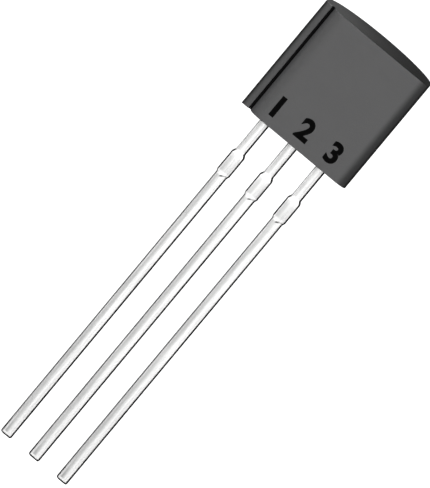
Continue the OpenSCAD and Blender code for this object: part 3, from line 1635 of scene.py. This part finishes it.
def area_lamp(name: str, place: Vector, away: Vector, side: float,
              radiance: float) -> bpy.types.Object:
    """Adds a square area lamp that the camera doesn't see.

    Args:
        name: The lamp's name.
        place: Its row point.
        away: The unit vector from what it lights to the lamp.
        side: The length of its side, in metres.
        radiance: How bright its face is.

    Returns:
        The lamp.
    """
    data = bpy.data.lights.new(name, "AREA")
    data.shape = "SQUARE"
    data.size = side
    data.energy = radiance * math.pi * side * side
    lamp = bpy.data.objects.new(name, data)
    lamp.location = place
    lamp.rotation_mode = "QUATERNION"
    lamp.rotation_quaternion = away.to_track_quat("Z", "Y")
    lamp.visible_camera = False
    bpy.context.scene.collection.objects.link(lamp)
    return lamp


@dataclass(frozen=True)
class SoftLight:
    """A square soft box that faces the part.

    Attributes:
        name: The light's name.
        across: Its tilt from the flat's normal towards +X, in degrees.
        along: Its tilt from the flat's normal towards the case's top, in degrees.
        radiance: How bright its face is.
        distance: Its distance from the part, in millimetres.
        size: The length of its side, in millimetres.
    """

    name: str
    across: float
    along: float
    radiance: float
    distance: float = 300.0
    size: float = 160.0

    def build(self, package: PackageFrame, target: Vector) -> bpy.types.Object:
        """Sets the light up.

        Args:
            package: The package frame.
            target: The row point it faces.

        Returns:
            The light.
        """
        a = math.radians(self.across)
        b = math.radians(self.along)
        away = package.direction(math.sin(a) * math.cos(b), -math.cos(a) * math.cos(b), math.sin(b))
        place = target + away * self.distance * MM
        return area_lamp(self.name, place, away, self.size * MM, self.radiance)


@dataclass(frozen=True)
class EndLight:
    """A small lamp just above the top end of the case, which fades across it.

    Attributes:
        place: Its package point, in millimetres.
        facing: The package point it faces.
        size: The length of its side, in millimetres.
        radiance: How bright its face is.
    """

    place: tuple[float, float, float] = (-2.1, 0.4, 7.7)
    facing: tuple[float, float, float] = (-2.1, 0.4, 4.6)
    size: float = 1.2
    radiance: float = 15.0

    def build(self, package: PackageFrame) -> bpy.types.Object:
        """Sets the lamp up.

        Args:
            package: The package frame.

        Returns:
            The lamp.
        """
        place = package.point(*self.place)
        away = (place - package.point(*self.facing)).normalized()
        return area_lamp("end_light", place, away, self.size * MM, self.radiance)


@dataclass
class Studio:
    """The soft lights and the grey surround, which is darker below the horizon.

    Three lights face the flat, and the weak fills reach the sides and the leads' tips.

    Attributes:
        package: The package frame.
        above: How bright the surround is above.
        below: How bright it is below.
        horizon: Where it starts to brighten and is as bright as above, as heights on a
            sphere of radius 1.
        end_light: The small lamp at the top end of the case.
        lights: The soft lights.
    """

    package: PackageFrame
    above: float = 0.08
    below: float = 0.02
    horizon: Span = (-0.1, 0.3)
    end_light: EndLight = EndLight()
    lights: tuple[SoftLight, ...] = (
        SoftLight("front_light", across=0.0, along=5.0, radiance=4.7),
        SoftLight("left_light", across=-60.0, along=5.0, radiance=3.3),
        SoftLight("right_light", across=50.0, along=5.0, radiance=3.4),
        SoftLight("right_fill", across=108.0, along=0.0, radiance=0.3, size=200.0),
        SoftLight("left_fill", across=-108.0, along=0.0, radiance=0.3, size=200.0),
        SoftLight("right_tip_fill", across=65.0, along=-52.0, radiance=0.55),
        SoftLight("left_tip_fill", across=-65.0, along=-52.0, radiance=0.55),
        SoftLight("tip_fill", across=0.0, along=-85.0, radiance=1.2),
    )

    def build(self, target: Vector) -> None:
        """Lights the part.

        Args:
            target: The row point that the lights face.
        """
        world = bpy.data.worlds.new("surround")
        world.use_nodes = True
        nodes = Nodes(world.node_tree)
        background = world.node_tree.nodes["Background"]
        background.inputs["Color"].default_value = (1.0, 1.0, 1.0, 1.0)
        split = nodes.add("SeparateXYZ")
        nodes.join(nodes.add("TexCoord").outputs["Generated"], split.inputs[0])
        glow = nodes.ramp(split.outputs["Z"], *self.horizon, self.below, self.above)
        nodes.join(glow, background.inputs["Strength"])
        bpy.context.scene.world = world
        for light in self.lights:
            light.build(self.package, target)
        self.end_light.build(self.package)


@dataclass
class ViewCamera:
    """A long-lens camera above the part, raised towards the case's top and rolled over.

    Angles are in degrees from the flat's normal, and lengths in package millimetres.
    """

    package: PackageFrame
    rise: float = 7.35
    roll: float = 39.77
    distance: float = 475.1
    aim_x: float = 0.104
    aim_z: float = -4.5225
    lens: float = 1000.0
    sensor: float = 36.0

    @property
    def target(self) -> Vector:
        """The row point in the middle of the view."""
        return self.package.point(self.aim_x, 0.0, self.aim_z)

    def build(self) -> bpy.types.Object:
        """Sets the camera up.

        Returns:
            The camera.
        """
        rise = math.radians(self.rise)
        roll = math.radians(self.roll)
        side = Vector((1, 0, 0))
        upward = Vector((0, math.sin(rise), math.cos(rise)))
        right = side * math.cos(roll) + upward * math.sin(roll)
        top = upward * math.cos(roll) - side * math.sin(roll)
        right = self.package.direction(*right)
        top = self.package.direction(*top)
        back = right.cross(top)
        data = bpy.data.cameras.new("view_camera")
        data.lens = self.lens
        data.sensor_width = self.sensor
        data.clip_start = 0.001
        data.clip_end = 10.0
        camera = bpy.data.objects.new("view_camera", data)
        camera.rotation_mode = "QUATERNION"
        camera.rotation_quaternion = Matrix((right, top, back)).transposed().to_quaternion()
        camera.location = self.target + back * self.distance * MM
        bpy.context.scene.collection.objects.link(camera)
        bpy.context.scene.camera = camera
        return camera


def finish_inner_nodes(effects: Effects) -> list[bpy.types.Object]:
    """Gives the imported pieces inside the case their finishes.

    Args:
        effects: The shared node groups.

    Returns:
        Those pieces.
    """
    wires = GOLD.material(effects)
    finishes = {
        "die_attach": (SOLDER.material(effects), Slot.SOLDER),
        "die": (SILICON.material(effects), Slot.SILICON),
        "base_wire": (wires, Slot.GOLD),
        "emitter_wire": (wires, Slot.GOLD),
    }
    for name, (material, slot) in finishes.items():
        node = frame["nodes"][name]
        if not node.material_slots:
            node.data.materials.append(None)
        for place in node.material_slots:
            place.material = material
    return [frame["nodes"][name] for name in finishes]


def main() -> None:
    """Builds the leads, the case, the numbers and the stage, in that order."""
    logging.basicConfig(level=logging.INFO, format="%(name)s: %(message)s")
    package = PackageFrame.from_record(frame["record"])
    effects = Effects.build()
    inner = finish_inner_nodes(effects)
    leads = LeadFrame(package).leads()
    pieces = [lead.build(effects) for lead in leads]
    case = MouldedCase(package)
    pieces.append(case.build(effects, [*pieces, *inner]))
    numbers = LeadNumbers(package, case.flat_y, leads[2].middle_x)
    pieces += numbers.build(effects)
    for piece in pieces:
        LOG.info("%s: %d faces", piece.name, len(piece.data.polygons))
    camera = ViewCamera(package)
    camera.build()
    Studio(package).build(camera.target)
    Table().build()
    bpy.context.scene.view_settings.view_transform = "Standard"


if __name__ == "__main__":
    main()
